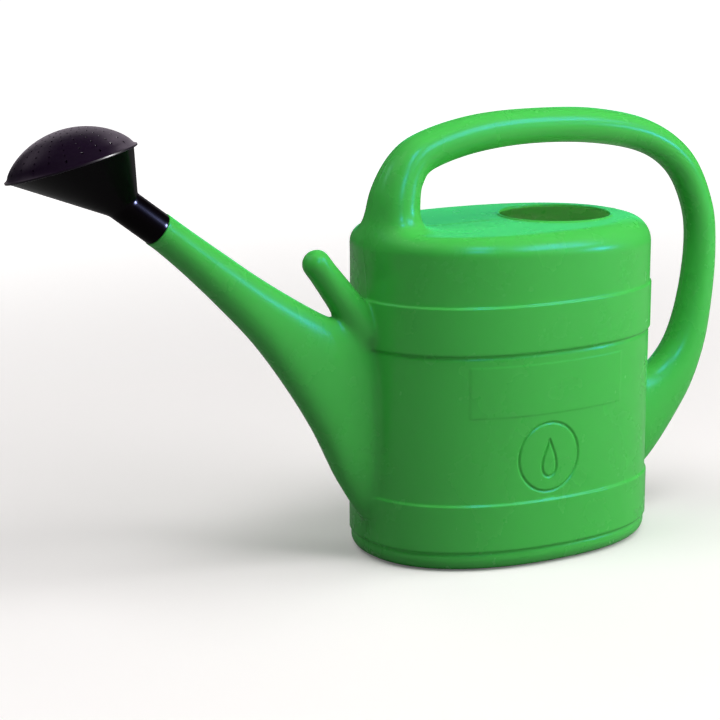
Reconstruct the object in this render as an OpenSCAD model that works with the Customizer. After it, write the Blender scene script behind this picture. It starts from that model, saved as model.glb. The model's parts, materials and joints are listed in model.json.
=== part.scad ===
// Ten-litre garden watering can: a hollow blow-moulded green can with its handle, spout and
// rose peg, and a black two-piece rose that pushes onto the neck of the spout.
// The can stands on z = 0 with the middle of its base at the origin. The spout points to -X,
// the handle to +X, and y = 0 is its mirror plane.

/* [Tank] */
// Length of the tank, along X
tank_l = 270; // [250:1:290]
// Width of the tank, along Y
tank_w = 190; // [170:1:205]
// Height of the tank's flat top
tank_h = 274; // [268:1:280]
// Exponent of the tank's rounded oval: 2 is an ellipse, larger is boxier
tank_square = 2.24; // [2:0.02:3]
// How much narrower the tank is at its base, as a share of its size
tank_taper = 0.01; // [0:0.005:0.02]
// Radius of the rounded shoulder
shoulder_r = 18; // [12:1:22]
// Radius of the rounded bottom edge
foot_r = 11; // [8:1:14]
// Thickness of the moulded walls
wall = 1.6; // [1.2:0.1:2.4]
// How far the two belts stand out
belt_out = 1; // [0:0.1:1.5]
// Height of the lower belt's lower edge
belt_low = 16.5; // [14:0.5:20]
// Height of the upper belt's lower edge
belt_high = 179.7; // [170:0.1:190]
// Height of each belt
belt_h = 39.2; // [30:0.1:45]

/* [Filling opening] */
// Radius of the filling opening
fill_r = 46.9; // [40:0.1:50]
// How far the opening sits from the middle, along X
fill_x = 54; // [50:1:58]
// Height of the opening's raised lip
lip_h = 1; // [0.4:0.1:2]
// Width of the opening's raised lip
lip_w = 2; // [1:0.1:3]

/* [Handle] */
// Height of the handle's centre line at its top
handle_top = 350; // [340:1:360]
// Radius of the handle's grip
grip_r = 14.7; // [12:0.1:17]
// Reach of the handle's centre line behind the tank, along X
handle_back = 215; // [205:1:225]

/* [Spout] */
// Slope of the spout's end above the horizontal
spout_angle = 36.6; // [34:0.1:38]
// Place of the spout's end face, along X
spout_x = -323.6; // [-330:0.1:-318]
// Height of the middle of the spout's end face
spout_z = 292.9; // [288:0.1:298]
// Radius of the spout at its end face
spout_r = 14; // [13:0.1:15]
// Outer radius of the neck that the rose pushes onto
neck_r = 11.7; // [11:0.05:12]
// Length of the neck
neck_l = 30; // [24:1:32]

/* [Rose peg] */
// Outer radius of the peg that holds the rose when it is off the spout
peg_r = 11.65; // [11:0.05:12]
// Slope of the peg above the horizontal
peg_angle = 51.9; // [50:0.1:56]
// Distance from the peg's foot to the middle of its round end
peg_l = 72; // [66:1:76]

/* [Rose] */
// Outer radius of the rose's socket
socket_r = 13.5; // [13:0.1:14]
// Radial clearance between the socket and the neck
socket_gap = 0.08; // [0.02:0.01:0.1]
// Length of the socket, up to where the funnel starts
socket_l = 31; // [30:0.5:31]
// How far the rose is turned on the neck
rose_turned = 15; // [0:1:30]
// Angle between the funnel's mouth and the socket
rose_tilt = 41; // [36:1:46]
// Distance from the spout's end face to the middle of the rose's rim
rose_reach = 90; // [86:0.5:94]
// How far the middle of the rim is off the socket's axis
rose_offset = 2.5; // [0:0.1:4]
// Outer radius of the rose's rim
rim_r = 51.5; // [49:0.1:54]
// Height of the rose's domed face
dome_h = 25.5; // [20:0.5:30]
// Radius of the spray holes
hole_r = 0.75; // [0.6:0.05:0.9]
// Number of rings of spray holes, counted from the outermost
hole_rings = 14; // [6:1:14]

/* [Hidden] */

green = "#3CBB46";
dark_green = "#2E8B3A";
black = "#16121A";

around = 64;          // points around the tank's oval
around_tube = 28;     // points around the handle and the spout
corner_steps = 5;     // steps along a rounded edge
stretch_steps = 3;    // steps between two of a tube's own sections
gap = 0.3;            // clearance between pieces that move apart
tiny = 0.01;

// Belts, as [lower edge, upper edge], and the height over which each one steps out
belts = [[belt_low, belt_low + belt_h], [belt_high, belt_high + belt_h]];
belt_step = 1.6;

// Handle sections: [x, z, slope of the section's long axis, half height, half width].
// The first stands in the shoulder at the spout's end, the last lies in the tank's end wall.
handle_sections = [
    [-109, 256, 0, 24, 30],
    [-110, 277, -5, 22, 27],
    [-107, 300, -22, 20.5, 23],
    [-97, 322, -48, 18, 19],
    [-78, 336, -69, 16.3, 16.5],
    [-30, handle_top - 3, -83, 15.6, 15.6],
    [30, handle_top, -90, grip_r, grip_r],
    [95, handle_top - 4, -99, grip_r, grip_r],
    [151, handle_top - 17, -117, grip_r - 0.5, grip_r - 0.5],
    [189, 308, -142, grip_r - 0.7, grip_r - 0.7],
    [handle_back - 5, 270, -166, grip_r - 0.8, grip_r - 0.8],
    [handle_back, 232, -181, grip_r - 0.2, grip_r],
    [handle_back - 5, 184, -193, 15.8, 15.8],
    [198.4, 143.8, -206, 19, 17.5],
    [176, 112, -226, 26, 19],
    [132, 79, -270, 51, 21]
];

// Spout sections: [top x, top z, bottom x, bottom z, half width].
// The first lies in the tank's end wall, the last but one is where the round end starts.
spout_sections = [
    [-130, 190, -130, 30, 17],
    [-158, 201, -158, 65, 16],
    [-182, 214, -184, 114, 15.4],
    [-209, 230, -211, 156, 15],
    [-237, 248, -240, 194, 14.6],
    [-264, 267, -272, 227.5, 14.3],
    [-290, 285.5, -301, 255.5, 14.1]
];
spout_boxy = 2.6;     // exponent of the spout's flat-sided sections at the tank

rim_wall = 1.8;       // thickness of the rose's mouldings
mouth_r = rim_r - 3;  // outer radius of the funnel's mouth
mitre_l = 36;         // from the spout's end face to the crease where the funnel opens out
mitre_tilt = 18;      // slope of that crease
flange_h = 1.5;       // thickness of the face's rim
lip_out = 1.8;        // width of the flat rim outside the dome
plug_l = 1.5;         // how far the face's inner ring reaches into the funnel's mouth
dome_power = 0.72;    // fullness of the dome
hole_spokes = 11;     // holes in each ring; every other ring is turned half a step
hole_turn = 3.6;      // turn of the outermost ring
crown_holes = 5;      // holes about the middle one
crown_r = 5.8;        // radius of their ring

// ---- curves and lofts ----

function signed_power(v, p) = sign(v) * pow(abs(v), p);

// A rounded oval of half sizes a and b, as n points from +X round to +Y
function oval(a, b, power, n) = [
    for (i = [0 : n - 1])
        let (t = 360 * (i + 0.5) / n)
        [a * signed_power(cos(t), 2 / power), b * signed_power(sin(t), 2 / power)]
];

// A smooth value between b and c, with a and d the values before and after
function smooth(a, b, c, d, t) =
    0.5 * (2 * b + (c - a) * t + (2 * a - 5 * b + 4 * c - d) * t * t
        + (3 * b - a - 3 * c + d) * t * t * t);

// The list with smooth in-between entries
function smoothed(list, steps) = let (last = len(list) - 1) [
    for (i = [0 : last - 1])
        for (j = [0 : steps - 1])
            smooth(list[max(i - 1, 0)], list[i], list[i + 1], list[min(i + 2, last)], j / steps),
    list[last]
];

function reversed(list) = [for (i = [len(list) - 1 : -1 : 0]) list[i]];

// Triangles between ring i and ring k of n points each
function band(i, k, n) = [
    for (j = [0 : n - 1])
        let (a = i * n + j, b = i * n + (j + 1) % n, c = k * n + (j + 1) % n, d = k * n + j)
        each [[a, c, b], [a, d, c]]
];

// A solid through rings of equal count, with flat ends
module loft(rings) {
    n = len(rings[0]);
    last = len(rings) - 1;
    sides = [for (i = [0 : last - 1]) each band(i, i + 1, n)];
    ends = [[for (j = [0 : n - 1]) j], [for (j = [n - 1 : -1 : 0]) last * n + j]];
    polyhedron(points = [for (r = rings) each r], faces = concat(sides, ends));
}

// A hollow shell through rings that run up the outside and back down the inside
module shell(rings) {
    n = len(rings[0]);
    m = len(rings);
    polyhedron(
        points = [for (r = rings) each r],
        faces = [for (i = [0 : m - 1]) each band(i, (i + 1) % m, n)]
    );
}

// Its children as one closed mesh
module one_mesh() resize([0, 0, 0]) children();

// ---- tank ----

function tank_scale(z) = 1 - tank_taper * (1 - z / tank_h);

// The tank's section at a height, drawn in by inset
function tank_oval(inset, z) = let (s = tank_scale(z))
    oval(tank_l / 2 * s - inset, tank_w / 2 * s - inset, tank_square, around);

function tank_ring(p) = [for (q = tank_oval(p[0], p[1])) [q[0], q[1], p[1]]];

// [inset, height] up a rounded edge of radius r whose outermost point is at z
function foot_arc(r, low) = [
    for (i = [0 : corner_steps])
        let (t = 90 * i / corner_steps)
        [foot_r - r * sin(t), low + r * (1 - cos(t))]
];
function shoulder_arc(r, high) = [
    for (i = [0 : corner_steps])
        let (t = 90 * i / corner_steps)
        [shoulder_r - r * cos(t), high - r * (1 - sin(t))]
];
function belt_profile(belt, inset) = [
    [inset, belt[0] - belt_step / 2],
    [inset - belt_out, belt[0] + belt_step / 2],
    [inset - belt_out, belt[1] - belt_step / 2],
    [inset, belt[1] + belt_step / 2]
];

outer_profile = concat(
    foot_arc(foot_r, 0),
    [for (b = belts) each belt_profile(b, 0)],
    shoulder_arc(shoulder_r, tank_h)
);
inner_profile = concat(
    foot_arc(foot_r - wall, wall),
    [for (b = belts) each belt_profile(b, wall)],
    shoulder_arc(shoulder_r - wall, tank_h - wall)
);

// The tank's outside as a solid, grown by extra
module tank_solid(extra) {
    loft([for (p = outer_profile) tank_ring([p[0] - extra, p[1]])]);
}

module tank_wall() {
    color(green)
    one_mesh()
    difference() {
        shell(concat(
            [for (p = outer_profile) tank_ring(p)],
            [for (p = reversed(inner_profile)) tank_ring(p)]
        ));
        spout_space(wall);
    }
}

// The flat panels that close the tank's two ends
module tank_panel(inset, z) {
    translate([0, 0, z])
    linear_extrude(wall)
    polygon(tank_oval(inset, z < wall ? 0 : tank_h));
}

module tank_top() {
    color(green)
    difference() {
        union() {
            tank_panel(shoulder_r, tank_h - wall);
            translate([fill_x, 0, tank_h - wall]) cylinder(r = fill_r + lip_w, h = wall + lip_h);
        }
        translate([fill_x, 0, tank_h - wall - 1]) cylinder(r = fill_r, h = wall + lip_h + 2);
    }
}

module tank_base() {
    color(dark_green) tank_panel(foot_r, 0);
}

// ---- handle ----

// One handle section as a ring, with its half sizes drawn in by inset
function handle_ring(s, inset) = [
    for (q = oval(s[3] - inset, s[4] - inset, 2, around_tube))
        [s[0] + q[0] * cos(s[2]), q[1], s[1] + q[0] * sin(s[2])]
];

module handle_tube(inset) {
    loft([for (s = smoothed(handle_sections, stretch_steps)) handle_ring(s, inset)]);
}

module handle() {
    color(green)
    one_mesh()
    difference() {
        handle_tube(0);
        handle_tube(wall);
        tank_solid(tiny);
    }
}

// ---- spout ----

// Directions of the spout's end: along it, and square to it in the mirror plane
along = [-cos(spout_angle), 0, sin(spout_angle)];
across = [sin(spout_angle), 0, cos(spout_angle)];

// One spout section as a ring; it gets rounder as the spout narrows
function spout_ring(s, inset) =
    let (
        mid = [(s[0] + s[2]) / 2, 0, (s[1] + s[3]) / 2],
        half = [(s[0] - s[2]) / 2, 0, (s[1] - s[3]) / 2],
        reach = norm(half),
        share = min(1, max(0, (reach - spout_r) / 60)),
        power = 2 + (spout_boxy - 2) * share
    )
    [
        for (q = oval(reach - inset, s[4] - inset, power, around_tube))
            mid + half * (q[0] / reach) + [0, q[1], 0]
    ];

// A round ring on the spout's axis, back from its end face
function end_ring(back, r) = [
    for (q = oval(r, r, 2, around_tube))
        [spout_x, 0, spout_z] - along * back + across * q[0] + [0, q[1], 0]
];

module spout_tube(inset, last_rings) {
    loft(concat(
        [for (s = smoothed(spout_sections, stretch_steps)) spout_ring(s, inset)],
        last_rings
    ));
}

module spout_outside() {
    spout_tube(0, [end_ring(20, spout_r + 0.2), end_ring(0, spout_r)]);
}

// The water's way through the spout, which narrows to the neck's bore just inside the end
module spout_space(inset) {
    spout_tube(inset, [
        end_ring(20, spout_r + 0.2 - inset),
        end_ring(4, spout_r - inset),
        end_ring(1, neck_r - wall),
        end_ring(-1, neck_r - wall)
    ]);
}

module spout() {
    color(green)
    one_mesh()
    difference() {
        spout_outside();
        spout_space(wall);
        tank_solid(tiny);
    }
}

// Puts its children on the spout's end face, with +Z along the spout
module on_spout_end() {
    translate([spout_x, 0, spout_z]) rotate([0, spout_angle - 90, 0]) children();
}

module spout_neck() {
    color(green)
    on_spout_end()
    difference() {
        cylinder(r = neck_r, h = neck_l);
        translate([0, 0, -1]) cylinder(r = neck_r - wall, h = neck_l + 2);
    }
}

// ---- rose peg ----

peg_foot = [-137.3, 0, 195.6];
peg_root_l = 22;      // the peg's root, which widens towards the tank and stops the rose
peg_root_out = 2;

module peg_shape(r, foot) {
    translate([0, 0, foot]) cylinder(r1 = r + peg_root_out, r2 = r, h = peg_root_l - foot);
    translate([0, 0, peg_root_l]) cylinder(r = r, h = peg_l - peg_root_l);
    translate([0, 0, peg_l]) sphere(r = r);
}

module rose_peg() {
    color(green)
    translate(peg_foot) rotate([0, peg_angle - 90, 0])
    difference() {
        peg_shape(peg_r, 0);
        peg_shape(peg_r - wall, -1);
    }
}

// ---- rose ----

module rose_socket() {
    color(black)
    on_spout_end()
    difference() {
        translate([0, 0, gap]) cylinder(r = socket_r, h = socket_l - gap);
        cylinder(r = neck_r + socket_gap, h = socket_l + 1);
    }
}

// Rings of the funnel, in the turned frame on the spout's end face
function flat_ring(r, z) = [for (q = oval(r, r, 2, around)) [q[0], q[1], z]];
function mitre_ring(r) = [for (q = oval(r, r, 2, around)) [q[0], q[1], mitre_l - q[0] * tan(mitre_tilt)]];
function mouth_ring(r, below) = [
    for (q = oval(r, r, 2, around))
        [
            rose_offset + q[0] * cos(rose_tilt) - below * sin(rose_tilt),
            q[1],
            rose_reach - q[0] * sin(rose_tilt) - below * cos(rose_tilt)
        ]
];

module rose_funnel() {
    bore = neck_r + socket_gap;
    mouth = flange_h + gap;
    color(black)
    on_spout_end() rotate([0, 0, rose_turned])
    shell([
        flat_ring(socket_r, socket_l + gap),
        mitre_ring(socket_r),
        mouth_ring(mouth_r, mouth),
        mouth_ring(mouth_r - rim_wall, mouth),
        mitre_ring(bore),
        flat_ring(bore, socket_l + gap)
    ]);
}

// Half section of the dome, from its rim to its crown
function dome_curve(r, h) = [
    for (i = [0 : 12])
        let (t = 90 * i / 12)
        [r * cos(t), h * pow(1 - pow(cos(t), 2), dome_power)]
];

// Radius of a ring of holes: the rings lie closer together towards the rim
function hole_ring_r(ring) = rim_r - 4.5 - 1.75 * ring - 0.075 * ring * ring;

module spray_hole(turn, r) {
    rotate([0, 0, turn]) translate([r, 0, 0.2]) cylinder(r = hole_r, h = dome_h + 1);
}

module rose_face() {
    // The far side of the funnel slants inwards below its mouth, so the ring stands in from it
    slant = (sin(rose_tilt) * (rose_reach - mitre_l) + mouth_r - socket_r)
        / (cos(rose_tilt) * (rose_reach - mitre_l));
    plug_h = flange_h + gap + plug_l;
    plug_r = mouth_r - rim_wall - 2 * gap - slant * plug_l;
    dome_r = rim_r - lip_out;
    color(black)
    on_spout_end() rotate([0, 0, rose_turned])
    translate([rose_offset, 0, rose_reach]) rotate([0, rose_tilt, 0])
    difference() {
        rotate_extrude()
        polygon(concat(
            [[plug_r, -plug_h], [plug_r, -flange_h], [rim_r, -flange_h], [rim_r, 0]],
            dome_curve(dome_r, dome_h),
            reversed(dome_curve(dome_r - rim_wall, dome_h - rim_wall)),
            [[plug_r - rim_wall, 0], [plug_r - rim_wall, -plug_h]]
        ));
        spray_hole(0, 0);
        for (i = [0 : crown_holes - 1])
            spray_hole(360 * i / crown_holes, crown_r);
        for (ring = [0 : hole_rings - 1])
            for (i = [0 : hole_spokes - 1])
                spray_hole(hole_turn + 360 * (i + 0.5 * (ring % 2)) / hole_spokes, hole_ring_r(ring));
    }
}

tank_wall();
tank_top();
tank_base();
handle();
spout();
spout_neck();
rose_peg();
rose_socket();
rose_funnel();
rose_face();
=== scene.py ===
"""The looks of the ten-litre watering can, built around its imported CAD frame.

Shapes are worked out in millimetres and made into Blender meshes in metres. The green can is one
seamless hollow moulding, so it is one mesh: the skin of a smooth blend of tank, handle, spout and
rose peg. The black rose is two mouldings, its body and its perforated face.
"""

import json
import math

import bpy
import numpy as np
from mathutils import Matrix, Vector
from mathutils.geometry import delaunay_2d_cdt


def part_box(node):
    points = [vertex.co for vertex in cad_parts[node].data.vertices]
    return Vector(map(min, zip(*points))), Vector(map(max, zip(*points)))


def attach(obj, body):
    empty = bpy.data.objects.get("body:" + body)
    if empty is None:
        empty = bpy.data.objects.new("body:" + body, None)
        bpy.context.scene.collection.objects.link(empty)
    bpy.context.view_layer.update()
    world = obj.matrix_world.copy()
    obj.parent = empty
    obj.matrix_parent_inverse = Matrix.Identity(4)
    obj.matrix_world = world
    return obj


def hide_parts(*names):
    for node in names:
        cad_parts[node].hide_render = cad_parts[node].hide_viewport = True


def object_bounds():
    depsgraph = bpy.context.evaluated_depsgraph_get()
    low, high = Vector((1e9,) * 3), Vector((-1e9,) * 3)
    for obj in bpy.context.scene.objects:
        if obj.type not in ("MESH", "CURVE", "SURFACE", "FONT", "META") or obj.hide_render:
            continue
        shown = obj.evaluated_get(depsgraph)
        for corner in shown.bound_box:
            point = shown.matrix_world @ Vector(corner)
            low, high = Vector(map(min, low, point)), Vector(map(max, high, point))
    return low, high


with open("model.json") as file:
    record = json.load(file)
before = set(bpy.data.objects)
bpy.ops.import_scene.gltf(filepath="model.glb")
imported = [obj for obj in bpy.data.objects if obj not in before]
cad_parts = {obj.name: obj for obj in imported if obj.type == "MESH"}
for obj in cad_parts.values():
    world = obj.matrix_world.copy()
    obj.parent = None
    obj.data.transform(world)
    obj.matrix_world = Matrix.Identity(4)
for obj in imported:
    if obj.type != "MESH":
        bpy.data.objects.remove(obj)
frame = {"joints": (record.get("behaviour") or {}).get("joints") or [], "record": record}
cad_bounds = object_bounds()

MM = 0.001

# ---- dimensions, in millimetres ----

# Tank: a rounded oval, slightly narrower at its base, with two raised belts
TANK_HALF_L = 134.6
TANK_HALF_W = 94.45
TANK_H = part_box("tank_wall")[1].z / MM
TANK_POWER = 2.24
TANK_TAPER = 0.01
SHOULDER_FRONT = 14
SHOULDER_BACK = 22
FOOT_R = 11
BELTS = [(16.5, 55.7), (179.7, 218.9)]
BELT_OUT = 1.4
BELT_STEP = 2.4
WALL = 1.6
CREASE_DEPTH = 0.6    # fine crease under each belt
CREASE_BELOW = 1.8
CREASE_HALF_W = 2.2
SEAM_OUT = 0.22       # the mould's parting line, all round the mirror plane
SEAM_HALF_W = 0.7
PANEL_X = (-85, 60)   # the plain panel on the front wall
PANEL_Z = (128, 170)
PANEL_OUT = 0.3

# Mounts and joints that shapes start from
MOUNTS = {m["name"]: m for m in frame["record"]["mounts"]}
JOINTS = {j["name"]: j for j in frame["joints"]}
FILL_X = MOUNTS["fill_opening"]["pos_m"][0] / MM
FILL_R = MOUNTS["fill_opening"]["dims"]["r_mm"]
PEG_R = MOUNTS["rose_peg"]["dims"]["r_mm"]
PEG_AXIS = np.array(MOUNTS["rose_peg"]["axis"])
PEG_MID = np.array(MOUNTS["rose_peg"]["pos_m"]) / MM
PEG_HALF = MOUNTS["rose_peg"]["dims"]["length_mm"] / 2
SEAT = np.array(JOINTS["rose_turn"]["pos_m"]) / MM
ALONG = np.array(JOINTS["rose_turn"]["axis"])
FACE_OUT = np.array(JOINTS["face_release"]["axis"])

# Handle sections: x, z, slope of the section's long axis, half height, half width
HANDLE = [
    (-109, 225, 0, 24, 31),
    (-109, 256, 0, 23, 29),
    (-110, 277, -5, 21.5, 26.5),
    (-107, 300, -22, 20.5, 23),
    (-97, 322, -48, 18, 19),
    (-78, 336, -69, 16.3, 16.5),
    (-30, 347, -83, 15.6, 15.6),
    (30, 350, -90, 14.7, 14.7),
    (95, 346, -99, 14.7, 14.7),
    (151, 333, -117, 14.2, 14.2),
    (189, 308, -142, 14, 14),
    (210, 270, -166, 13.9, 13.9),
    (215, 232, -181, 14.1, 14.5),
    (210, 184, -193, 15.8, 15.8),
    (198.4, 143.8, -206, 19, 17.5),
    (176.4, 111.5, -226, 25.9, 19),
    (140, 82, -262, 44, 20),
    (96, 79, -270, 46, 20),
]
# Spout sections: top x and z, bottom x and z, half width, exponent
SPOUT = [
    (-96, 170, -96, 30, 17, 2.6),
    (-130, 190, -130, 30, 17, 2.6),
    (-158, 201, -158, 65, 16, 2.6),
    (-182, 214, -184, 114, 15.4, 2.4),
    (-209, 230, -211, 156, 15, 2.3),
    (-237, 248, -240, 194, 14.6, 2.15),
    (-264, 267, -272, 227.5, 14.3, 2.05),
    (-290, 285.5, -301, 255.5, 14.1, 2),
]
SPOUT_R = 14
NECK_R = 11.7
NECK_L = 29.6

# How softly each part runs into the tank
BLEND_STALK = 26
STALK_BLEND_H = 38    # the stalk's blend sets in over this height
BLEND_HANDLE_FOOT = 12
BLEND_SPOUT = 9
BLEND_PEG_UNDER = 14
BLEND_PEG_OVER = 7
PEG_BLEND_W = 16      # the peg's blend changes from under to over across this width
PEG_BELOW = 22        # how far the peg reaches below its mount
PEG_ROOT_L = 62       # the peg widens towards its root
PEG_ROOT_OUT = 3.4

# Filling hole's lip
LIP_OUT = 4.5
LIP_H = 0.95

# Ring mark on the front wall
MARK_X = -17
MARK_Z = 91.5
MARK_R = 28.7
MARK_MARGIN = 4.2     # plain wall kept round the ring
GROOVE_W = 3.4
GROOVE_DEPTH = 1.25
DROP_W = 9.5
DROP_H = 15.5

# Rose
SOCKET_R = 13.5
SOCKET_BORE = 11.78
SOCKET_GAP = 0.3
MITRE_L = 36
MITRE_TILT = math.radians(18)
ROSE_REACH = 90
ROSE_OFFSET = 2.5
RIM_R = 51.5
MOUTH_R = 48.5
ROSE_WALL = 1.8
DOME_H = 25.5
DOME_POWER = 0.72
RIM_LIP_W = 1.8       # flat rim outside the dome
RIM_LIP_SLOPE = 0.25
RIM_POINTS = 144
FLANGE_H = 1.5
PLUG_R = 43.4
PLUG_H = 3.4
HOLE_R = 0.75
HOLE_RINGS = 14
HOLES_IN_RING = 11
HOLE_TURN = 3.6       # degrees from the rim's lowest point to its nearest hole
CROWN_HOLES = 5
CROWN_R = 5.8

STEP = 2.6            # grid of the can's outer skin
INNER_STEP = 4.4      # grid of the can's inner skin


# ---- smooth curves and fields ----

def smoothed(rows, steps):
    """Catmull-Rom rows between the given ones."""
    rows = np.array(rows, float)
    last = len(rows) - 1
    t = np.arange(steps)[:, None] / steps
    out = []
    for i in range(last):
        a, b, c, d = rows[max(i - 1, 0)], rows[i], rows[i + 1], rows[min(i + 2, last)]
        out.append(0.5 * (2 * b + (c - a) * t + (2 * a - 5 * b + 4 * c - d) * t ** 2
                          + (3 * b - a - 3 * c + d) * t ** 3))
    return np.vstack(out + [rows[last:]])


def smooth_step(t):
    """Zero below 0, one above 1, and a smooth rise between."""
    t = np.clip(t, 0, 1)
    return t * t * (3 - 2 * t)


def plateau(v, low, high, soft):
    """One between low and high, none outside, with soft steps."""
    return smooth_step((v - low) / soft + 0.5) - smooth_step((v - high) / soft + 0.5)


def smooth_min(a, b, k):
    """The lower of two distances, blended over k."""
    h = np.maximum(k - np.abs(a - b), 0) / k
    return np.minimum(a, b) - h ** 3 * k / 6


class Tube:
    """A tube along the mirror plane, from sections: middle x, z, half vector x, z, half width, exponent."""

    def __init__(self, rows, steps):
        rows = smoothed(rows, steps)
        self.mid = rows[:, 0:2]
        self.half = rows[:, 2:4]
        self.shape = rows[:, 4:6]
        self.h = np.linalg.norm(self.half, axis=1)
        ahead = np.gradient(self.mid, axis=0)
        self.normal = np.stack([-self.half[:, 1], self.half[:, 0]], 1) / self.h[:, None]
        turn = np.sign((self.normal * ahead).sum(1))
        self.normal *= turn[:, None]

    def locate(self, x, z):
        """For each point of the mirror plane, the section just before it, or -1."""
        x, z = np.broadcast_arrays(x, z)
        flat = np.stack([x.ravel(), z.ravel()], 1)
        found = np.full(len(flat), -1)
        for start in range(0, len(flat), 20000):
            p = flat[start:start + 20000, None, :] - self.mid
            ahead = (p * self.normal).sum(2)
            side = np.abs((p * self.half).sum(2)) / self.h ** 2
            crossed = (ahead[:, :-1] >= 0) & (ahead[:, 1:] < 0)
            cost = np.where(crossed, side[:, :-1], np.inf)
            best = cost.argmin(1)
            good = cost[np.arange(len(best)), best] < 5
            found[start:start + 20000] = np.where(good, best, -1)
        return found.reshape(x.shape)

    def distance(self, x, y, z, at):
        """Distance from the tube's surface, where at is each point's section as locate gives it."""
        i = np.maximum(at, 0)
        a = (x - self.mid[i, 0]) * self.normal[i, 0] + (z - self.mid[i, 1]) * self.normal[i, 1]
        j = i + 1
        b = (x - self.mid[j, 0]) * self.normal[j, 0] + (z - self.mid[j, 1]) * self.normal[j, 1]
        t = np.clip(a / np.where(np.abs(a - b) < 1e-9, 1e-9, a - b), -1, 2)
        mx, mz = (self.mid[i, k] + t * (self.mid[j, k] - self.mid[i, k]) for k in (0, 1))
        hx, hz = (self.half[i, k] + t * (self.half[j, k] - self.half[i, k]) for k in (0, 1))
        w, p = (self.shape[i, k] + t * (self.shape[j, k] - self.shape[i, k]) for k in (0, 1))
        h = np.hypot(hx, hz)
        u = np.abs((x - mx) * hx + (z - mz) * hz) / h ** 2 + 1e-9
        v = np.abs(y) / w + 1e-9
        k = (u ** p + v ** p) ** (1 / p)
        slope = k ** (1 - p) * np.hypot(u ** (p - 1) / h, v ** (p - 1) / w)
        return np.where(at < 0, 1e3, (k - 1) / slope)


def handle_rows():
    """The handle's sections as a Tube takes them."""
    for x, z, slope, half_h, half_w in HANDLE:
        a = math.radians(slope)
        yield x, z, half_h * math.cos(a), half_h * math.sin(a), half_w, 2


def spout_rows():
    """The spout's sections as a Tube takes them, the last two round and along the neck."""
    for top_x, top_z, low_x, low_z, half_w, power in SPOUT:
        yield ((top_x + low_x) / 2, (top_z + low_z) / 2, (top_x - low_x) / 2, (top_z - low_z) / 2,
               half_w, power)
    across = np.array([ALONG[2], -ALONG[0]]) * SPOUT_R
    for back in (8, -14):
        x, z = (SEAT - ALONG * back)[[0, 2]]
        yield x, z, across[0], across[1], SPOUT_R, 2


HANDLE_TUBE = Tube(list(handle_rows()), 40)
SPOUT_TUBE = Tube(list(spout_rows()), 40)


def tank_distance(x, y, z):
    """Distance from the tank: a rounded oval with its belts, creases and plain panel."""
    size = 1 - TANK_TAPER * (1 - z / TANK_H)
    a, b = TANK_HALF_L * size, TANK_HALF_W * size
    u, v = np.abs(x) / a + 1e-9, np.abs(y) / b + 1e-9
    f = (u ** TANK_POWER + v ** TANK_POWER) ** (1 / TANK_POWER)
    slope = f ** (1 - TANK_POWER) * np.hypot(u ** (TANK_POWER - 1) / a, v ** (TANK_POWER - 1) / b)
    side = (f - 1) / slope
    for low, high in BELTS:
        side = side - BELT_OUT * plateau(z, low, high, BELT_STEP)
        side = side + CREASE_DEPTH * smooth_step(1 - np.abs(z - low + CREASE_BELOW) / CREASE_HALF_W)
    side = side - PANEL_OUT * (y < 0) * plateau(x, *PANEL_X, 2) * plateau(z, *PANEL_Z, 2)
    back = smooth_step(x / (2 * TANK_HALF_L) + 0.5)
    r = np.where(z > TANK_H / 2, SHOULDER_FRONT + (SHOULDER_BACK - SHOULDER_FRONT) * back, FOOT_R)
    end = np.maximum(z - TANK_H, -z)
    inside = np.minimum(np.maximum(side, end) + r, 0)
    return np.hypot(np.maximum(side + r, 0), np.maximum(end + r, 0)) + inside - r


def peg_distance(x, y, z):
    """Distance from the peg: a round-ended rod that widens towards its root."""
    foot = PEG_MID - PEG_AXIS * (PEG_HALF + PEG_BELOW)
    length = 2 * PEG_HALF + PEG_BELOW
    t = (x - foot[0]) * PEG_AXIS[0] + (z - foot[2]) * PEG_AXIS[2]
    t = np.clip(t, 0, length)
    dx, dz = x - foot[0] - t * PEG_AXIS[0], z - foot[2] - t * PEG_AXIS[2]
    root = PEG_ROOT_OUT * np.clip(1 - t / PEG_ROOT_L, 0, 1)
    return np.sqrt(dx ** 2 + y ** 2 + dz ** 2) - PEG_R - root


def can_distance(x, y, z, at_handle, at_spout):
    """Distance from the whole can's skin, given the handle's and the spout's nearest sections."""
    d = tank_distance(x, y, z)
    # The stalk's blend sets in above its lowest section, so the wall stays plain below it
    stalk = 1 + (BLEND_STALK - 1) * smooth_step((z - HANDLE[0][1]) / STALK_BLEND_H)
    k = np.where(x < 0, stalk, BLEND_HANDLE_FOOT)
    d = smooth_min(d, HANDLE_TUBE.distance(x, y, z, at_handle), k)
    d = smooth_min(d, SPOUT_TUBE.distance(x, y, z, at_spout), BLEND_SPOUT)
    peg = peg_distance(x, y, z)
    over = (x - PEG_MID[0]) * PEG_AXIS[2] - (z - PEG_MID[2]) * PEG_AXIS[0]
    over = smooth_step(over / PEG_BLEND_W + 0.5)
    d = smooth_min(d, peg, BLEND_PEG_UNDER + (BLEND_PEG_OVER - BLEND_PEG_UNDER) * over)
    return d - SEAM_OUT * smooth_step(1 - np.abs(y) / SEAM_HALF_W) * smooth_step(z / 6 - 0.5)


def located(x, z):
    """The handle's and the spout's sections nearest each point."""
    return HANDLE_TUBE.locate(x, z), SPOUT_TUBE.locate(x, z)


def gradient(points, places, reach=0.5):
    """How the can's distance changes along x, y and z at each point."""
    out = np.zeros_like(points)
    for axis in range(3):
        d = np.zeros(3)
        d[axis] = reach
        ahead = can_distance(*(points + d).T, *places)
        behind = can_distance(*(points - d).T, *places)
        out[:, axis] = (ahead - behind) / (2 * reach)
    return out


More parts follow.
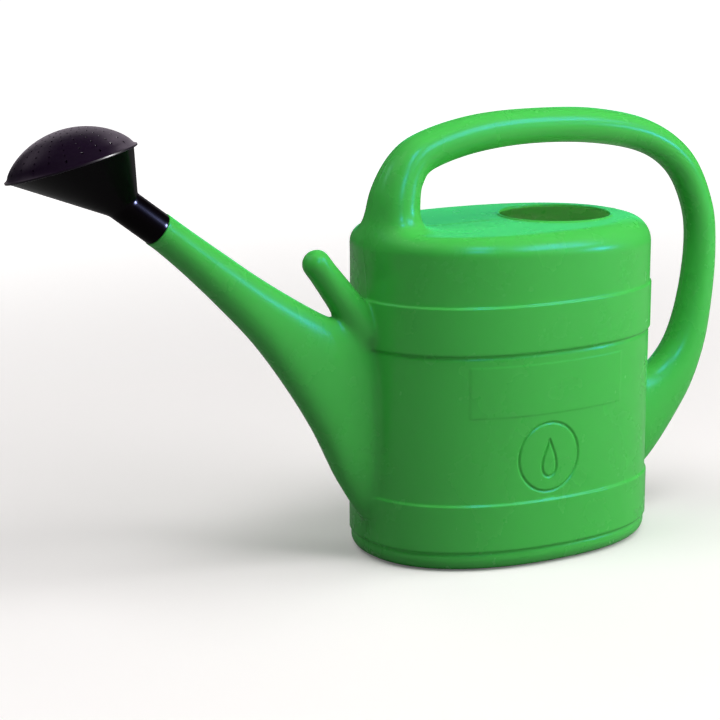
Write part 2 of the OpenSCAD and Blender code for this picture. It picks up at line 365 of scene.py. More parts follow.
def settle(points, depth=0.0, rounds=4):
    """Moves points onto the can's skin, or depth inside it."""
    for _ in range(rounds):
        places = located(points[:, 0], points[:, 2])
        g = gradient(points, places)
        off = can_distance(*points.T, *places) + depth
        move = off[:, None] * g / np.maximum((g ** 2).sum(1), 0.05)[:, None]
        points = points - np.clip(move, -2, 2)
    return points


def skin_normals(points):
    """Unit normals of the can's skin at each point."""
    g = gradient(points, located(points[:, 0], points[:, 2]), 0.3)
    return g / np.linalg.norm(g, axis=1)[:, None]


# ---- meshes from fields ----

def levels(low, high, step, edges=(), near=()):
    """Even levels from low to high, with closer ones near each edge."""
    even = np.arange(low, high + step, step)
    for edge in edges:
        even = even[(even < edge + near[0] - 0.4) | (even > edge + near[-1] + 0.4)]
    return np.sort(np.concatenate([even] + [edge + np.array(near) for edge in edges]))


def surface_net(values, axes):
    """The skin where values change sign, as points and quads that face the positive side."""
    inside = values < 0
    cells = tuple(n - 1 for n in values.shape)
    total = np.zeros(cells + (3,))
    count = np.zeros(cells)
    quads = []
    for d in range(3):
        e, f = (d + 1) % 3, (d + 2) % 3
        near = [slice(None)] * 3
        far = [slice(None)] * 3
        near[d], far[d] = slice(0, -1), slice(1, None)
        at = np.argwhere(inside[tuple(near)] != inside[tuple(far)])
        keep = np.ones(len(at), bool)
        for k in (e, f):
            keep &= (at[:, k] > 0) & (at[:, k] < values.shape[k] - 1)
        at = at[keep]
        after = at.copy()
        after[:, d] += 1
        va, vb = values[tuple(at.T)], values[tuple(after.T)]
        t = va / (va - vb)
        point = np.stack([axes[k][at[:, k]] for k in range(3)], 1)
        point[:, d] += t * (axes[d][after[:, d]] - axes[d][at[:, d]])
        corners = []
        for oe, of in ((-1, -1), (0, -1), (0, 0), (-1, 0)):
            cell = at.copy()
            cell[:, e] += oe
            cell[:, f] += of
            total[tuple(cell.T)] += point
            count[tuple(cell.T)] += 1
            corners.append(np.ravel_multi_index(tuple(cell.T), cells))
        quad = np.stack(corners, 1)
        falling = va > 0
        quad[falling] = quad[falling][:, ::-1]
        quads.append(quad)
    quads = np.vstack(quads)
    used, quads = np.unique(quads, return_inverse=True)
    points = (total.reshape(-1, 3)[used]) / count.ravel()[used][:, None]
    return points, quads.reshape(-1, 4)


def can_skin(step, depth, fine):
    """The can's skin as points and quads, depth inside its outer surface."""
    hi = np.array(cad_bounds[1]) / MM
    spout_tip = SEAT[0] - 16
    steps = [z for belt in BELTS for z in belt] + list(PANEL_Z)
    axes = (
        levels(spout_tip, hi[0] + step, step, PANEL_X if fine else (), (-1, 0, 1)),
        levels(-TANK_HALF_W - 1.5 * step, TANK_HALF_W + 1.5 * step, step,
               [0] if fine else (), (-0.75, -0.4, 0, 0.4, 0.75)),
        levels(-1.5 * step, hi[2] + step, step, steps if fine else (),
               (-3.2, -2.5, -1.9, -1.3, -0.8, -0.3, 0.3, 0.8, 1.4)),
    )
    x, y, z = axes[0][:, None, None], axes[1][None, :, None], axes[2][None, None, :]
    values = can_distance(x, y, z, *located(x, z)) + depth
    points, quads = surface_net(values, axes)
    return settle(points, depth), quads


class Shell:
    """Points and faces that grow into one closed mesh."""

    def __init__(self):
        self.points = []
        self.faces = []
        self.count = 0

    def add(self, points):
        start = self.count
        self.points.append(np.asarray(points, float).reshape(-1, 3))
        self.count += len(self.points[-1])
        return np.arange(start, self.count)

    def all_points(self):
        return np.vstack(self.points)

    def at(self, ids):
        return self.all_points()[ids]

    def face(self, *corners):
        self.faces.append(tuple(int(c) for c in corners))

    def strip(self, ring, points):
        """A next ring of as many points, joined to ring by quads."""
        new = self.add(points)
        n = len(ring)
        for i in range(n):
            j = (i + 1) % n
            self.face(ring[j], ring[i], new[i], new[j])
        return new

    def zip(self, edge, ring):
        """Joins a mesh's own edge loop to a ring that turns the same way, by triangles."""
        pts = self.all_points()
        a, b = pts[edge], pts[ring]
        first = int(((b - a[0]) ** 2).sum(1).argmin())
        ring = np.roll(ring, -first)
        b = pts[ring]
        n, m = len(edge), len(ring)
        i = j = 0
        while i < n or j < m:
            next_a, next_b = a[(i + 1) % n], b[(j + 1) % m]
            here_a, here_b = a[i % n], b[j % m]
            go_a = ((next_a - here_b) ** 2).sum() <= ((next_b - here_a) ** 2).sum()
            if j >= m or (i < n and go_a):
                self.face(edge[(i + 1) % n], edge[i % n], ring[j % m])
                i += 1
            else:
                self.face(ring[j % m], ring[(j + 1) % m], edge[i % n])
                j += 1
        return ring


def edge_loop(faces, points, near):
    """The loop of open edges that passes nearest a point, in the order that its faces run."""
    edges = np.vstack([faces[:, [k, (k + 1) % 4]] for k in range(4)])
    key = edges[:, 0].astype(np.int64) * (len(points) + 1) + edges[:, 1]
    back = edges[:, 1].astype(np.int64) * (len(points) + 1) + edges[:, 0]
    open_edges = edges[~np.isin(key, back)]
    after = dict(open_edges.tolist())
    ends = open_edges[:, 0]
    start = int(ends[((points[ends] - near) ** 2).sum(1).argmin()])
    loop = [start]
    while after[loop[-1]] != start:
        loop.append(after[loop[-1]])
        if len(loop) > len(after):
            raise RuntimeError("an opening's edge doesn't close")
    return np.array(loop)


def circle(middle, radius, u, v, n, flip=False):
    """A ring of n points that runs from u towards v, or the other way."""
    t = np.arange(n) / n * 2 * np.pi * (-1 if flip else 1)
    return middle + radius * (np.cos(t)[:, None] * u + np.sin(t)[:, None] * v)


def turns_with(points, u, v):
    """True if a loop runs from u towards v."""
    p = points - points.mean(0)
    x, y = p @ u, p @ v
    return float((x * np.roll(y, -1) - np.roll(x, -1) * y).sum()) > 0


def make_object(name, points, faces, normals=None):
    """A smooth-shaded mesh object from points in millimetres, with its own normals if given."""
    mesh = bpy.data.meshes.new(name)
    mesh.from_pydata((np.asarray(points) * MM).tolist(), [], faces)
    mesh.update()
    mesh.shade_smooth()
    if normals is None:
        mesh.set_sharp_from_angle(angle=math.radians(38))
    else:
        mesh.normals_split_custom_set_from_vertices(normals.tolist())
    made = bpy.data.objects.new(name, mesh)
    bpy.context.scene.collection.objects.link(made)
    return made


# ---- the green can ----

X, Y, Z = np.eye(3)


def without(faces, inside):
    """The faces that have no corner where inside is true."""
    return faces[~inside[faces].any(1)]


def drop_distance(x, z):
    """Distance from the outline of a plain water drop in the ring mark."""
    t = np.linspace(0, 2 * np.pi, 160)
    outline_x = DROP_W * np.sin(t) * np.sin(t / 2) ** 1.4
    outline_z = DROP_H * np.cos(t) - 1
    d = np.full(x.shape, 1e9)
    for ox, oz in zip(outline_x, outline_z):
        d = np.minimum(d, (x - ox) ** 2 + (z - oz) ** 2)
    return np.sqrt(d)


def groove(distance):
    """How deep a rounded groove is, at a distance from its line."""
    return GROOVE_DEPTH * (1 - smooth_step(np.abs(distance) / (GROOVE_W / 2)))


def add_mark(shell, edge, middle, tangent):
    """The ring mark and its water drop, sunk into the front wall."""
    n = 224
    spacing = 0.62
    flip = not turns_with(shell.at(edge), tangent, Z)
    ring = None
    for radius in np.arange(MARK_R + MARK_MARGIN, spacing, -spacing):
        flat = circle(np.zeros(3), radius, X, Z, n, flip)
        points = settle(middle + flat[:, :1] * tangent + flat[:, 2:] * Z, rounds=3)
        depth = groove(radius - MARK_R) + groove(drop_distance(flat[:, 0], flat[:, 2]))
        points = points - skin_normals(points) * depth[:, None]
        if ring is None:
            ring = shell.zip(edge, shell.add(points))
            shift = ring[0] - ring.min()
        else:
            ring = shell.strip(ring, np.roll(points, -shift, axis=0))
    centre = shell.add(settle(middle[None, :]))
    for i in range(n):
        shell.face(ring[(i + 1) % n], ring[i], centre[0])


def lathe(shell, ring, origin, axis, profile):
    """Rings at each [radius, height] of the profile about an axis, following on from ring."""
    start = shell.at(ring) - origin
    out = start - (start @ axis)[:, None] * axis
    out /= np.linalg.norm(out, axis=1)[:, None]
    for radius, height in profile:
        ring = shell.strip(ring, origin + axis * height + out * radius)
    return ring


def rounded(r0, h0, r1, h1, bulge, steps=5):
    """Points from one profile point to another along an arc that bulges to (r, h) = bulge."""
    t = np.linspace(0, 1, steps + 1)[1:, None]
    a, b, c = np.array([r0, h0]), np.array(bulge), np.array([r1, h1])
    return ((1 - t) ** 2 * a + 2 * t * (1 - t) * b + t ** 2 * c).tolist()


def make_can():
    """The green can: an outer and an inner skin, joined at the filling hole and the neck's end."""
    shell = Shell()
    points, quads = can_skin(STEP, 0, True)
    inner, inner_quads = can_skin(INNER_STEP, WALL, False)

    # Openings in the outer skin: filling hole, spout end and the place of the mark
    mark = settle(np.array([[MARK_X, -TANK_HALF_W + 1, MARK_Z]]))[0]
    mark_out = skin_normals(mark[None, :])[0]
    tangent = np.cross(mark_out, Z)
    tangent *= np.sign(tangent[0]) / np.linalg.norm(tangent)
    fill = np.array([FILL_X, 0, TANK_H])
    lip_outer = FILL_R + LIP_OUT

    def openings(p, hole, back):
        """Which points lie in the filling hole, and which beyond the spout's end less back."""
        by_hole = (np.hypot(p[:, 0] - FILL_X, p[:, 1]) < hole) & (np.abs(p[:, 2] - TANK_H) < 8)
        return by_hole, (p - SEAT) @ ALONG > -back

    by_hole, by_end = openings(points, lip_outer + STEP, 7)
    by_mark = np.linalg.norm(points - mark, axis=1) < MARK_R + MARK_MARGIN + STEP * 0.8
    kept = largest(without(quads, by_hole | by_end | by_mark), len(points))
    outer_ids = shell.add(points)
    shell.faces += [tuple(q) for q in kept.tolist()]

    hole_in, end_in = openings(inner, FILL_R + 3 + INNER_STEP, 10)
    kept_in = largest(without(inner_quads, hole_in | end_in), len(inner))
    inner_ids = shell.add(inner)
    start = inner_ids[0]
    shell.faces += [tuple(q) for q in (kept_in[:, ::-1] + start).tolist()]

    # The filling hole's rounded lip
    edge = edge_loop(kept, points, fill + X * lip_outer)
    flip = not turns_with(points[edge], X, Y)
    n = 160
    ring = shell.zip(edge, shell.add(circle(fill, lip_outer, X, Y, n, flip)))
    profile = [[FILL_R + 2.6, 0.0]]
    profile += rounded(FILL_R + 2.6, 0, FILL_R + 1.2, LIP_H, [FILL_R + 2.0, LIP_H], 4)
    profile += rounded(FILL_R + 1.2, LIP_H, FILL_R, -0.3, [FILL_R, LIP_H], 5)
    profile += [[FILL_R, -WALL + 0.5]]
    profile += rounded(FILL_R, -WALL + 0.5, FILL_R + 0.8, -WALL, [FILL_R, -WALL], 3)
    profile += [[FILL_R + 3, -WALL]]
    ring = lathe(shell, ring, fill, Z, profile)
    edge = start + edge_loop(kept_in[:, ::-1], inner, fill + X * (FILL_R + 3))
    shell.zip(edge, ring[::-1])

    # The spout's end and its neck
    across = np.cross(Y, ALONG)
    edge = edge_loop(kept, points, SEAT - ALONG * 7 + across * SPOUT_R)
    flip = not turns_with(points[edge], across, Y)
    n = 96
    ring = shell.zip(edge, shell.add(circle(SEAT - ALONG * 4.5, SPOUT_R, across, Y, n, flip)))
    bore = NECK_R - WALL
    profile = [[SPOUT_R, -0.7]]
    profile += rounded(SPOUT_R, -0.7, SPOUT_R - 0.7, 0, [SPOUT_R, 0], 4)
    profile += [[NECK_R + 0.5, 0]]
    profile += rounded(NECK_R + 0.5, 0, NECK_R, 0.5, [NECK_R, 0], 3)
    profile += [[NECK_R, h] for h in (4, 10, 16, 22, NECK_L - 1)]
    profile += rounded(NECK_R, NECK_L - 1, NECK_R - 0.8, NECK_L, [NECK_R, NECK_L], 4)
    profile += rounded(NECK_R - 0.8, NECK_L, bore, NECK_L - 0.8, [bore, NECK_L], 4)
    profile += [[bore, h] for h in (22, 16, 10, 4, 0, -1.5)]
    profile += [[SPOUT_R - WALL, -5.5]]
    ring = lathe(shell, ring, SEAT, ALONG, profile)
    edge = start + edge_loop(kept_in[:, ::-1], inner, SEAT - ALONG * 10 + across * SPOUT_R)
    shell.zip(edge, ring[::-1])

    edge = edge_loop(kept, points, mark + tangent * (MARK_R + 5))
    add_mark(shell, edge, mark, tangent)

    normals = np.zeros((shell.count, 3))
    normals[outer_ids] = skin_normals(points)
    return make_object("can_body", *compact(shell.all_points(), shell.faces, normals))


def largest(faces, count):
    """Only the faces of the largest connected piece."""
    label = np.arange(count)
    while True:
        low = label[faces].min(1)
        new = label.copy()
        for k in range(4):
            np.minimum.at(new, faces[:, k], low)
        new = new[new]
        if (new == label).all():
            break
        label = new
    names, sizes = np.unique(label[faces[:, 0]], return_counts=True)
    return faces[label[faces[:, 0]] == names[sizes.argmax()]]


def compact(points, faces, normals):
    """Drops the points that no face uses."""
    used = np.unique(np.concatenate([np.array(f) for f in faces]))
    place = np.full(len(points), -1)
    place[used] = np.arange(len(used))
    return points[used], [tuple(int(place[c]) for c in f) for f in faces], normals[used]


# ---- the black rose ----

# The rose's own axes: K crosses the mirror plane, and M is square to K and to the socket or face
ROSE_K = np.cross(ALONG, FACE_OUT)
ROSE_K /= np.linalg.norm(ROSE_K)
ROSE_M = np.cross(ROSE_K, ALONG)
FACE_M = np.cross(ROSE_K, FACE_OUT)
RIM = SEAT + ALONG * ROSE_REACH + ROSE_M * ROSE_OFFSET


def tube_ring(radius, height, n, mitre=0.0):
    """A ring about the socket's axis, sloped by mitre."""
    t = np.arange(n) / n * 2 * np.pi
    x, y = radius * np.cos(t), radius * np.sin(t)
    rise = height - x * math.tan(mitre)
    return SEAT + x[:, None] * ROSE_M + y[:, None] * ROSE_K + rise[:, None] * ALONG


def mouth_ring(radius, below, n):
    """A ring about the face's axis, below the rim's plane."""
    t = np.arange(n) / n * 2 * np.pi
    middle = RIM - FACE_OUT * below
    return middle + radius * (np.cos(t)[:, None] * FACE_M + np.sin(t)[:, None] * ROSE_K)


def between(a, b, steps):
    """Rings between two rings, and the second."""
    return [a + (b - a) * s / steps for s in range(1, steps + 1)]


def make_rose_body():
    """The socket and funnel as one closed wall: up its outside, over the mouth and down its bore."""
    n = 144
    r, bore = SOCKET_R, SOCKET_BORE
    mouth = FLANGE_H + 0.25
    rings = [tube_ring(r - 0.5, SOCKET_GAP, n), tube_ring(r - 0.12, SOCKET_GAP + 0.12, n)]
    rings += [tube_ring(r, SOCKET_GAP + 0.5, n)]
    rings += between(rings[-1], tube_ring(r, MITRE_L - 1.2, n, MITRE_TILT), 12)
    crease = tube_ring(r + 0.05, MITRE_L, n, MITRE_TILT)
    rim = mouth_ring(MOUTH_R, mouth, n)
    rings += [crease + (rim - crease) * 0.015]
    rings += between(rings[-1], crease + (rim - crease) * 0.985, 24)
    rings += [rim, mouth_ring(MOUTH_R - 0.5, mouth, n), mouth_ring(MOUTH_R - ROSE_WALL, mouth, n)]
    inside = tube_ring(bore, MITRE_L + 0.6, n, MITRE_TILT)
    rings += between(rings[-1], inside, 16)
    rings += between(inside, tube_ring(bore, SOCKET_GAP + 0.4, n), 8)
    rings += [tube_ring(bore + 0.4, SOCKET_GAP, n)]
    points = np.vstack(rings)
    m = len(rings)
    faces = []
    for i in range(m):
        k = (i + 1) % m
        for j in range(n):
            jj = (j + 1) % n
            faces.append((i * n + j, i * n + jj, k * n + jj, k * n + j))
    return make_object("rose_body", points, faces)


def dome_height(rho, thin):
    """Height of the dome at radius rho, or of its inside where thin is the wall."""
    radius = RIM_R - RIM_LIP_W - thin
    height = (DOME_H - thin) * np.clip(1 - (rho / radius) ** 2, 0, 1) ** DOME_POWER
    return np.maximum(height, 0 if thin else RIM_LIP_SLOPE * (RIM_R - rho))


def hole_places():
    """Middles of the spray holes: rings from the rim inwards, every other one half a step round."""
    places = [(0.0, 0.0)]
    rings = [(CROWN_R, CROWN_HOLES, 0)]
    for i in range(HOLE_RINGS):
        turn = HOLE_TURN + 180 / HOLES_IN_RING * (i % 2)
        rings.append((RIM_R - 4.5 - 1.75 * i - 0.075 * i * i, HOLES_IN_RING, turn))
    for r, n, turn in rings:
        for i in range(n):
            t = math.radians(turn + 360 * i / n)
            places.append((r * math.cos(t), r * math.sin(t)))
    return places


def perforated_disc(radius, corners):
    """A flat disc with the spray holes in it: points, triangles, and each hole's own ring of points."""
    points = []
    edges = []

    def ring(middle, r, n):
        start = len(points)
        for i in range(n):
            t = 2 * math.pi * i / n
            points.append((middle[0] + r * math.cos(t), middle[1] + r * math.sin(t)))
            edges.append((start + i, start + (i + 1) % n))
        return list(range(start, start + n))

    places = hole_places()
    rim = ring((0, 0), radius, RIM_POINTS)
    holes = [ring(place, HOLE_R, corners) for place in places]
    hole_xy = np.array(places)
    step = 2.2
    for i in range(1, int(radius / step) + 1):
        r = radius - i * step * 0.98
        n = max(6, int(2 * math.pi * r / step))
        for j in range(n):
            t = 2 * math.pi * (j + 0.5 * (i % 2)) / n
            p = np.array([r * math.cos(t), r * math.sin(t)])
            if np.hypot(*(hole_xy - p).T).min() > HOLE_R + 0.55 and r < radius - 0.6:
                points.append(tuple(p))
    out = delaunay_2d_cdt(points, edges, [], 0, 1e-6)
    xy = np.array([tuple(v) for v in out[0]])
    back = {source: i for i, sources in enumerate(out[3]) for source in sources}
    tris = []
    for f in out[2]:
        mid = xy[list(f)].mean(0)
        if np.hypot(*(hole_xy - mid).T).min() > HOLE_R * 0.98 and np.hypot(*mid) < radius:
            tris.append(tuple(f))
    return xy, tris, [back[i] for i in rim], [[back[i] for i in h] for h in holes]


def make_rose_face():
    """The perforated dome, its flange and the plug ring that sits in the funnel's mouth."""
    corners = 12
    xy, tris, rim, holes = perforated_disc(RIM_R, corners)
    rho = np.hypot(xy[:, 0], xy[:, 1])
    count = len(xy)
    top = np.c_[xy, dome_height(rho, 0)]
    inside = (RIM_R - RIM_LIP_W - ROSE_WALL) / RIM_R
    under_xy = xy * np.where(rho > 44, 1 - (1 - inside) * (rho - 44) / (RIM_R - 44), 1)[:, None]
    under = np.c_[under_xy, dome_height(np.hypot(under_xy[:, 0], under_xy[:, 1]), ROSE_WALL)]
    local = [top, under]
    faces = [tuple(t) for t in tris]
    faces += [tuple(c + count for c in reversed(t)) for t in tris]
    for hole in holes:
        n = len(hole)
        for i in range(n):
            a, b = hole[i], hole[(i + 1) % n]
            faces.append((a, b, b + count, a + count))
    n = len(rim)
    t = np.arctan2(xy[rim, 1], xy[rim, 0])
    inner = PLUG_R - ROSE_WALL
    profile = [[RIM_R, -0.35], [RIM_R, -FLANGE_H + 0.45], [RIM_R - 0.13, -FLANGE_H + 0.13]]
    profile += [[RIM_R - 0.45, -FLANGE_H], [PLUG_R + 0.3, -FLANGE_H], [PLUG_R, -FLANGE_H - 0.3]]
    profile += [[PLUG_R, -PLUG_H + 0.3], [PLUG_R - 0.3, -PLUG_H], [inner + 0.3, -PLUG_H]]
    profile += [[inner, -PLUG_H + 0.3], [inner, -0.3], [inner + 0.3, 0]]
    start = 2 * count
    ring = rim
    for r, h in profile:
        local.append(np.c_[r * np.cos(t), r * np.sin(t), np.full(n, h)])
        new = list(range(start, start + n))
        for i in range(n):
            j = (i + 1) % n
            faces.append((ring[j], ring[i], new[i], new[j]))
        ring = new
        start += n
    for i in range(n):
        j = (i + 1) % n
        faces.append((ring[j], ring[i], rim[i] + count, rim[j] + count))
    local = np.vstack(local)
    points = RIM + local[:, :1] * FACE_M + local[:, 1:2] * ROSE_K + local[:, 2:] * FACE_OUT
    return make_object("rose_face_dome", points, faces)


# ---- materials ----

class Paint:
    """A node material with short ways to add and link nodes."""

    def __init__(self, name, colour, roughness):
        self.material = bpy.data.materials.new(name)
        self.material.use_nodes = True
        self.nodes = self.material.node_tree.nodes
        self.links = self.material.node_tree.links
        self.shader = self.nodes["Principled BSDF"]
        self.shader.inputs["Base Color"].default_value = (*colour, 1)
        self.shader.inputs["Roughness"].default_value = roughness

    def add(self, kind, **values):
        node = self.nodes.new(kind)
        for key, value in values.items():
            if key in node.inputs:
                node.inputs[key].default_value = value
            else:
                setattr(node, key, value)
        return node

    def link(self, a, out, b, into):
        self.links.new(a.outputs[out], b.inputs[into])


def moulded_plastic(name, colour, variation, roughness, grain, specular):
    """Moulded plastic: faint swirls of colour, uneven gloss and a very fine skin texture."""
    paint = Paint(name, colour, roughness)
    paint.shader.inputs["Specular IOR Level"].default_value = specular
    place = paint.add("ShaderNodeTexCoord")
    swirl = paint.add("ShaderNodeTexNoise", Scale=9.0, Detail=3.0, Roughness=0.55, Distortion=0.6)
    paint.link(place, "Object", swirl, "Vector")
    tint = paint.add("ShaderNodeMix", data_type="RGBA")
    low = tuple(c * (1 - variation) for c in colour)
    high = tuple(min(1, c * (1 + variation)) for c in colour)
    colours = [s for s in tint.inputs if s.type == "RGBA"]
    colours[0].default_value = (*low, 1)
    colours[1].default_value = (*high, 1)
    paint.link(swirl, "Fac", tint, "Factor")
    paint.links.new([s for s in tint.outputs if s.type == "RGBA"][0], paint.shader.inputs["Base Color"])

    cloud = paint.add("ShaderNodeTexNoise", Scale=22.0, Detail=4.0, Roughness=0.6)
    paint.link(place, "Object", cloud, "Vector")
    gloss = paint.add("ShaderNodeMapRange")
    gloss.inputs["To Min"].default_value = roughness * 0.8
    gloss.inputs["To Max"].default_value = roughness * 1.25
    paint.link(cloud, "Fac", gloss, "Value")
    paint.link(gloss, "Result", paint.shader, "Roughness")

    skin = paint.add("ShaderNodeTexNoise", Scale=grain, Detail=2.0, Roughness=0.5)
    paint.link(place, "Object", skin, "Vector")
    bump = paint.add("ShaderNodeBump", Strength=0.1, Distance=0.00015)
    paint.link(skin, "Fac", bump, "Height")
    paint.link(bump, "Normal", paint.shader, "Normal")
    return paint


def green_plastic():
    paint = moulded_plastic("green_polyethylene", (0.055, 0.445, 0.067), 0.05, 0.26, 700, 0.4)
    paint.shader.inputs["Subsurface Weight"].default_value = 0.25
    paint.shader.inputs["Subsurface Radius"].default_value = (0.3, 1.0, 0.35)
    paint.shader.inputs["Subsurface Scale"].default_value = 0.004
    return paint.material


def black_plastic():
    return moulded_plastic("black_plastic", (0.0012, 0.0005, 0.001), 0.2, 0.2, 900, 0.04).material


def face_plastic():
    return moulded_plastic("black_plastic_satin", (0.006, 0.0015, 0.009), 0.15, 0.34, 900, 0.25).material


# ---- stage ----

LIT_MIDDLE = np.array([0, 0, 0.15])
LIGHT_DISTANCE = 2.4
FLOOR_HALF = 40       # metres
GLOW_FROM, GLOW_TO = 0.3, 3.0             # the floor's glow grows between these distances, in metres
GLOW_NEAR, GLOW_FAR = 0.1, 1.0
# Broad lights that shade the object: azimuth, elevation, width, height (m), power (W)
SOFT_LIGHTS = [
    ("key_left", -60, 35, 1.1, 1.1, 16),
    ("key_right", -30, 35, 1.1, 1.1, 14),
    ("low_left", -55, 8, 1.0, 0.6, 14),
    ("low_right", -20, 8, 1.0, 0.6, 9),
    ("top_front", -100, 65, 1.1, 1.1, 20),
    ("top_right", -30, 62, 1.1, 1.1, 8),
    ("top_left", 180, 62, 1.1, 1.1, 18),
    ("left", 180, 35, 1.1, 1.1, 3),
    ("back", 100, 25, 1.4, 0.9, 9),
]
# Lights that show only as gleams, each on one piece
COOL = (0.05, 0.42, 1.0)
CAN_GLEAMS = [
    ("gleam_shoulder", -54, 32, 1.3, 0.12, 18, COOL),
    ("gleam_grip", -52, 42, 1.0, 0.15, 12, COOL),
    ("gleam_foot", -103, 31, 0.25, 0.25, 9, COOL),
    ("gleam_crook", -96, 51, 0.3, 0.25, 12, COOL),
    ("gleam_spout", -38, 11, 0.3, 0.15, 12, COOL),
    ("gleam_top", 55, 12, 1.6, 0.9, 4, (0.02, 1.0, 0.5)),
    ("gleam_behind", 150, 40, 0.5, 0.5, 3, (0.5, 0.9, 1.0)),
]
BODY_GLEAMS = [
    ("socket_gleam", -34, 10, 0.5, 0.4, 500, (0.45, 0.5, 1.0)),
    ("body_backdrop", 62, 22, 2.4, 1.6, 5, (0.9, 0.9, 1.0)),
]
FACE_GLEAMS = [
    ("face_rim", -53, 11, 0.2, 0.2, 170, (1, 1, 1)),
    ("face_backdrop", 62, 24, 2.6, 1.8, 12, (1.0, 0.88, 1.0)),
    ("face_side", 38, 52, 0.9, 0.7, 4, (1.0, 0.85, 1.0)),
    ("face_end", 122, 36, 1.0, 0.8, 1.4, (1.0, 0.85, 1.0)),
]


def make_floor():
    """A pale floor just under the can, seen by the camera brighter than by the can."""
    size = FLOOR_HALF / MM
    floor = make_object("floor", [(-size, -size, 0), (size, -size, 0), (size, size, 0), (-size, size, 0)],
                        [(0, 1, 2, 3)])
    floor.location.z = -0.0002
    paint = Paint("pale_floor", (0.84, 0.81, 0.80), 0.7)
    # The far floor glows, as a studio's background is lit on its own
    place = paint.add("ShaderNodeTexCoord")
    far = paint.add("ShaderNodeVectorMath", operation="LENGTH")
    paint.link(place, "Object", far, "Vector")
    glow = paint.add("ShaderNodeMapRange", interpolation_type="SMOOTHSTEP")
    for name, value in (("From Min", GLOW_FROM), ("From Max", GLOW_TO),
                        ("To Min", GLOW_NEAR), ("To Max", GLOW_FAR)):
        glow.inputs[name].default_value = value
    paint.link(far, "Value", glow, "Value")
    paint.shader.inputs["Emission Color"].default_value = (1, 1, 1, 1)
    paint.link(glow, "Result", paint.shader, "Emission Strength")
    # The object is lit by a duller floor than the camera sees, so its undersides stay dark
    dull = paint.add("ShaderNodeBsdfDiffuse", Color=(0.3, 0.3, 0.3, 1))
    path = paint.add("ShaderNodeLightPath")
    choose = paint.add("ShaderNodeMixShader")
    paint.link(path, "Is Camera Ray", choose, 0)
    paint.link(dull, 0, choose, 1)
    paint.link(paint.shader, 0, choose, 2)
    paint.link(choose, 0, paint.nodes["Material Output"], "Surface")
    floor.data.materials.append(paint.material)


def area_light(name, azimuth, elevation, width, height, power, colour=(1, 1, 1)):
    """A light 2.4 m from the can's middle, facing it, that the camera doesn't see."""
    light = bpy.data.lights.new(name, "AREA")
    light.shape = "RECTANGLE"
    light.size, light.size_y = width, height
    light.energy = power
    light.color = colour
    made = bpy.data.objects.new(name, light)
    a, e = math.radians(azimuth), math.radians(elevation)
    back = np.array([math.cos(a) * math.cos(e), math.sin(a) * math.cos(e), math.sin(e)])
    right = np.cross(Z, back)
    right /= np.linalg.norm(right)
    up = np.cross(back, right)
    turn = Matrix([list(v) for v in np.stack([right, up, back], 1)]).to_4x4()
    made.matrix_world = Matrix.Translation(LIT_MIDDLE + back * LIGHT_DISTANCE) @ turn
    made.visible_camera = False
    bpy.context.scene.collection.objects.link(made)
    return made


def make_world():
    """White to the camera, and an even dim sky to the object."""
    world = bpy.data.worlds.new("studio")
    world.use_nodes = True
    nodes, links = world.node_tree.nodes, world.node_tree.links
    seen = nodes["Background"]
    seen.inputs["Color"].default_value = (1, 1, 1, 1)
    seen.inputs["Strength"].default_value = 0.95
    dim = nodes.new("ShaderNodeBackground")
    dim.inputs["Color"].default_value = (1, 1, 1, 1)
    dim.inputs["Strength"].default_value = 0.06
    path = nodes.new("ShaderNodeLightPath")
    choose = nodes.new("ShaderNodeMixShader")
    links.new(path.outputs["Is Camera Ray"], choose.inputs[0])
    links.new(dim.outputs[0], choose.inputs[1])
    links.new(seen.outputs[0], choose.inputs[2])
    links.new(choose.outputs[0], nodes["World Output"].inputs["Surface"])
    bpy.context.scene.world = world


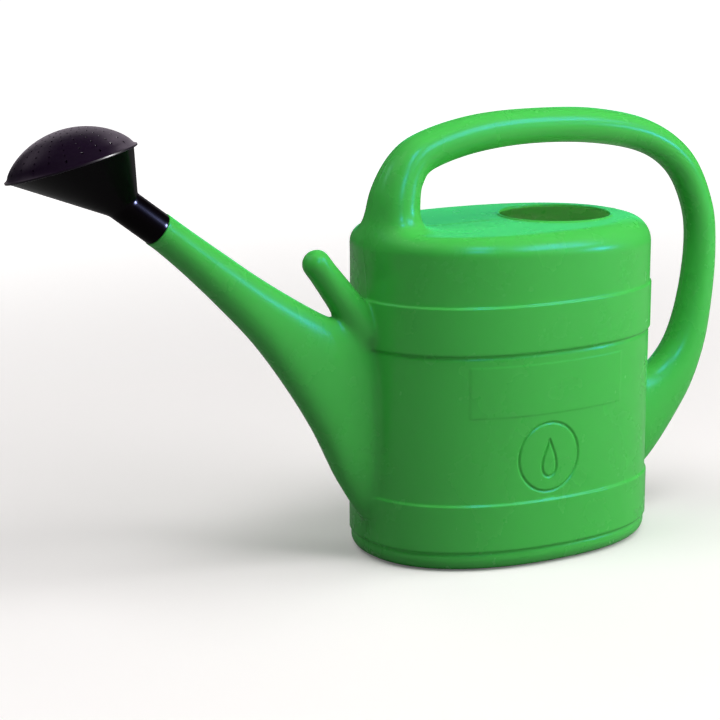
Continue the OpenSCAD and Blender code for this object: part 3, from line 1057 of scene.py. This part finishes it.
def make_lights(can, rose, face):
    """The studio's lights and sky, with the gleams linked to the piece that they light."""
    make_world()
    for row in SOFT_LIGHTS:
        area_light(*row).visible_glossy = False
    for rows, piece in ((CAN_GLEAMS, can), (BODY_GLEAMS, rose), (FACE_GLEAMS, face)):
        lit = bpy.data.collections.new("lit_piece")
        lit.objects.link(piece)
        for row in rows:
            gleam = area_light(*row)
            gleam.visible_diffuse = False
            gleam.light_linking.receiver_collection = lit
    # A small lamp in the tank stands for the light that comes through its thin wall
    inside = bpy.data.lights.new("inside", "POINT")
    inside.energy = 0.42
    inside.color = (1.0, 0.4, 0.65)
    inside.shadow_soft_size = 0.02
    lamp = bpy.data.objects.new("inside", inside)
    lamp.location = (0.054, -0.02, 0.17)
    lamp.visible_glossy = False
    bpy.context.scene.collection.objects.link(lamp)
    bpy.context.scene.view_settings.view_transform = "Standard"


def make_camera():
    """The photograph's viewing angle."""
    data = bpy.data.cameras.new("camera")
    data.sensor_width = 36
    data.lens = 118.855
    camera = bpy.data.objects.new("camera", data)
    right = np.array([0.8450, -0.5347, 0.0])
    ahead = np.array([0.5225, 0.8258, -0.2121])
    ahead /= np.linalg.norm(ahead)
    right /= np.linalg.norm(right)
    up = np.cross(right, ahead)
    turn = Matrix([list(v) for v in np.stack([right, up, -ahead], 1)]).to_4x4()
    camera.matrix_world = Matrix.Translation((-1.1513, -1.5970, 0.5797)) @ turn
    bpy.context.scene.collection.objects.link(camera)
    bpy.context.scene.camera = camera


# ---- build ----

def finish_piece(piece, material, body, slot, *nodes):
    """Gives a piece its material and its body, and hides the CAD nodes that it stands for; slot is not
    used.
    """
    piece.data.materials.clear()
    piece.data.materials.append(material)
    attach(piece, body)
    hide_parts(*nodes)


make_camera()
make_floor()
can = make_can()
rose = make_rose_body()
face = make_rose_face()
finish_piece(can, green_plastic(), "can", "can_green",
             "tank_wall", "tank_top", "tank_base", "handle", "spout", "spout_neck", "rose_peg")
finish_piece(rose, black_plastic(), "rose", "rose_black", "rose_socket", "rose_funnel")
finish_piece(face, face_plastic(), "face", "face_black", "rose_face")
make_lights(can, rose, face)
